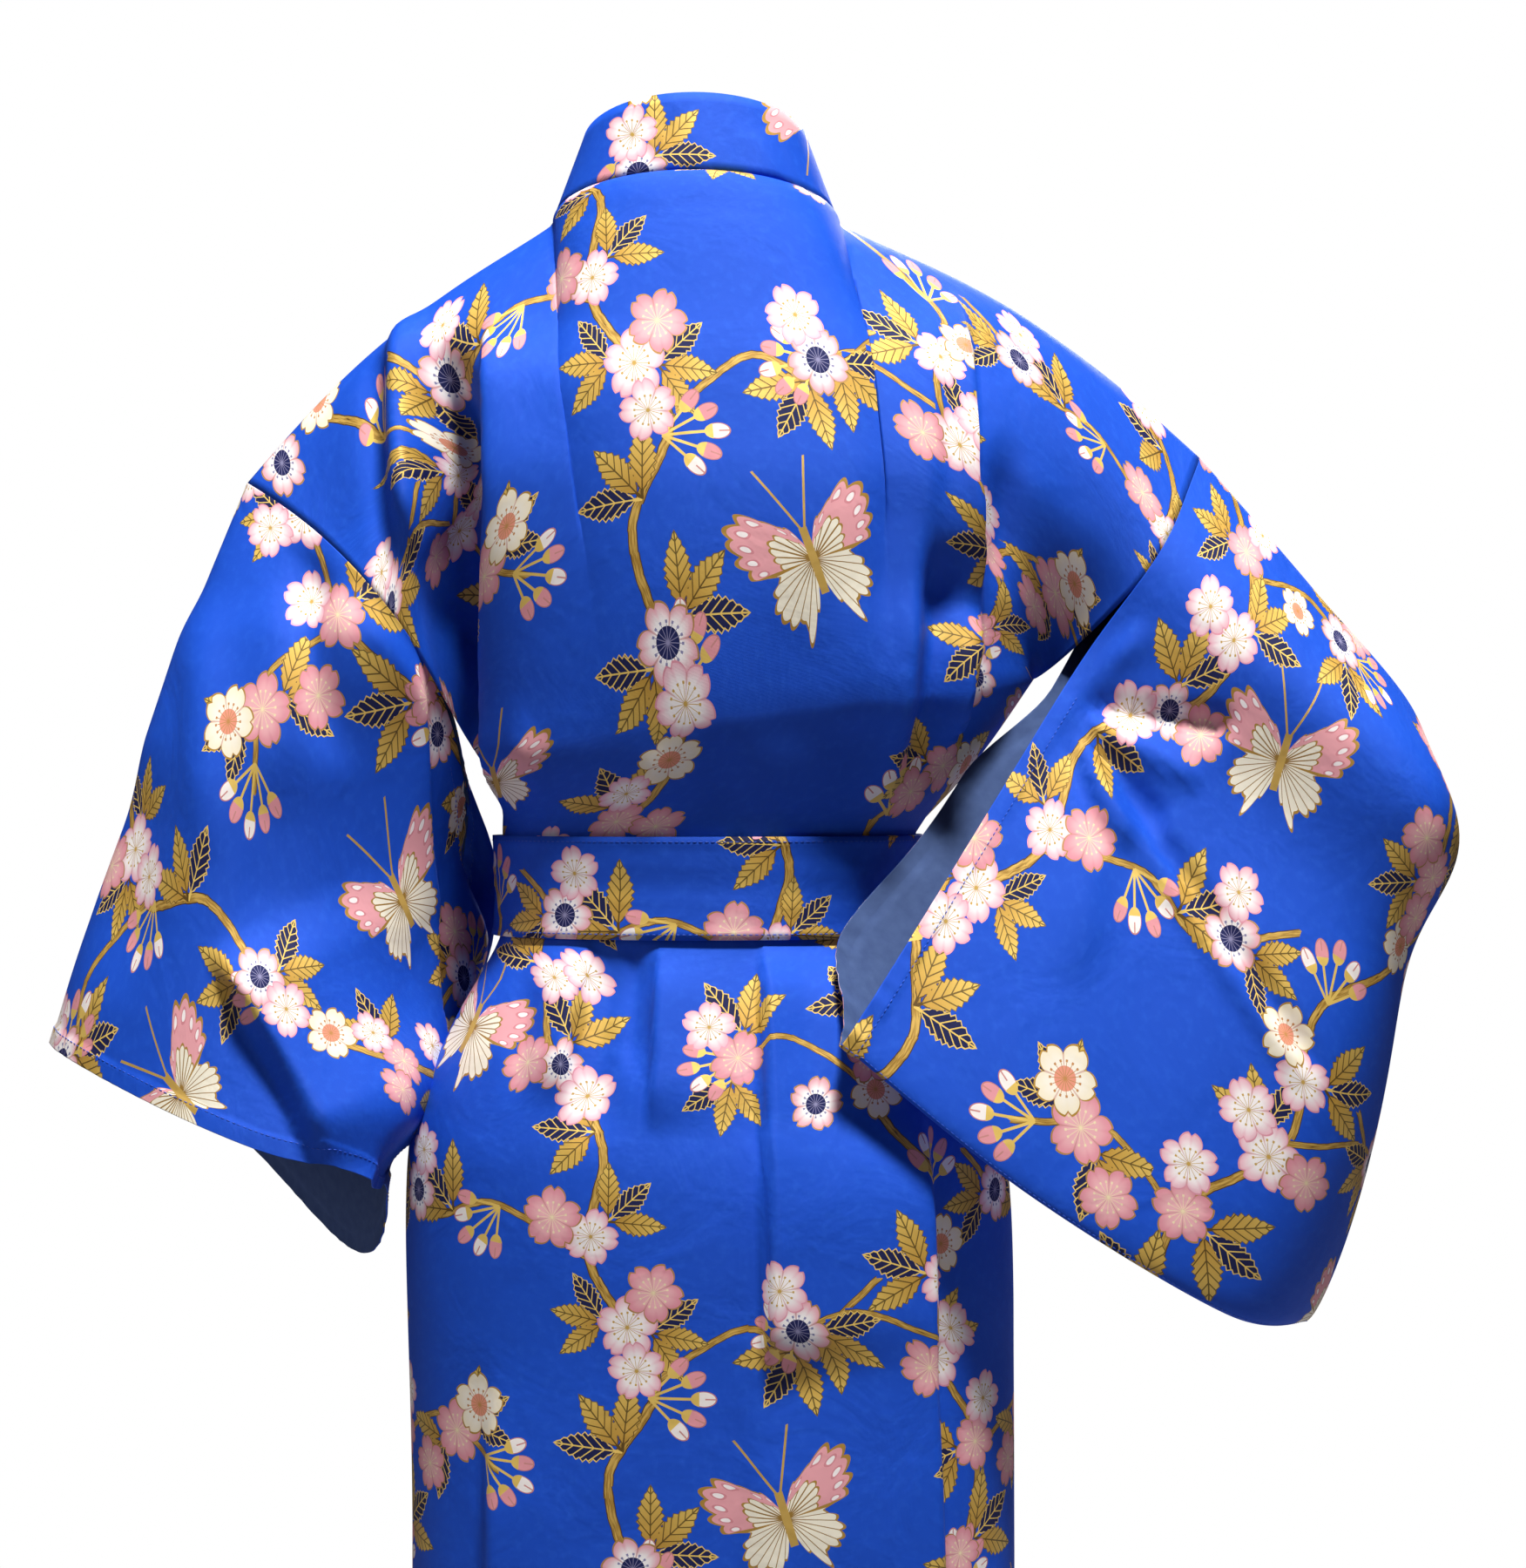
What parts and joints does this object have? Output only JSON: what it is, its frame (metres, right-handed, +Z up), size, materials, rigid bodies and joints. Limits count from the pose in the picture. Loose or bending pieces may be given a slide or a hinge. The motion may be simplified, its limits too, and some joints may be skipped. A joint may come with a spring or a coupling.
{
  "type": "worn belted kimono robe",
  "caption": "Long kimono robe of printed cotton with wide open sleeves, a standing collar band and a tied belt, in its hollow worn form.",
  "frame": {"origin": "middle of the neck opening, level with the collar seam at the back of the neck, where the wearer's shoulders hold the robe", "axes": "+Z up; the wearer faces -Y, so the back faces +Y and the wearer's left is +X"},
  "size_m": [0.8614, 0.2794, 1.3682],
  "materials": {
    "print_cotton": "printed cotton sateen",
    "belt_cotton": "printed cotton sateen, doubled"
  },
  "bodies": {
    "root": {"back": "print_cotton", "front_left": "print_cotton", "front_right": "print_cotton", "collar": "print_cotton", "sleeve_left": "print_cotton", "sleeve_right": "print_cotton", "belt": "belt_cotton", "belt_knot": "belt_cotton", "belt_tail_left": "belt_cotton", "belt_tail_right": "belt_cotton"}
  },
  "joints": []
}
